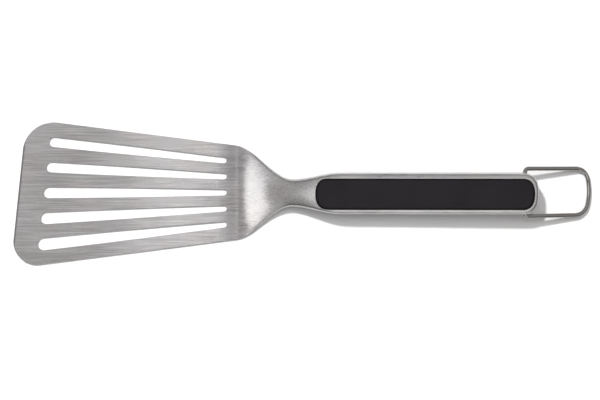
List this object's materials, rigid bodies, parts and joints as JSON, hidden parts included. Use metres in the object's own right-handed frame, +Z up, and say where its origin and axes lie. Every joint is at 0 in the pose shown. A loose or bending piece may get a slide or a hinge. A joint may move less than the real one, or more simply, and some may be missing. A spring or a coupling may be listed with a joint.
{
  "type": "grill spatula",
  "caption": "Slotted stainless grill spatula with a skewed leading edge, a steel handle with soft black grip pads, and a swinging wire hanging loop.",
  "frame": {"origin": "centre of the spatula's footprint, on the surface it lies on", "axes": "+X along the handle from the blade's edge to the loop, +Z up from the surface, +Y to the side where the blade is shorter"},
  "size_m": [0.4205, 0.1036, 0.0204],
  "materials": {
    "brushed_steel": "brushed along its length",
    "satin_steel": "fine satin",
    "soft_grip": "satin soft-touch",
    "grip_carrier": "moulded",
    "screw_steel": "bright",
    "pivot_nylon": "moulded natural nylon",
    "polished_wire": "polished"
  },
  "bodies": {
    "spatula": {"turner_head": "brushed_steel", "handle_upper_shell": "satin_steel", "handle_lower_shell": "satin_steel", "upper_grip_pad": "soft_grip", "lower_grip_pad": "soft_grip", "upper_grip_carrier": "grip_carrier", "lower_grip_carrier": "grip_carrier", "carrier_screw_front": "screw_steel", "carrier_screw_middle": "screw_steel", "carrier_screw_rear": "screw_steel", "loop_pivot_block": "pivot_nylon"},
    "loop": {"hanging_loop": "polished_wire"}
  },
  "joints": [
    {"name": "loop_swing", "type": "hinge", "parent": "spatula", "child": "loop", "pos_m": [0.1606, 0.0006, 0.0122], "axis": [0, 1, 0], "range_deg": [-178, 148]}
  ]
}
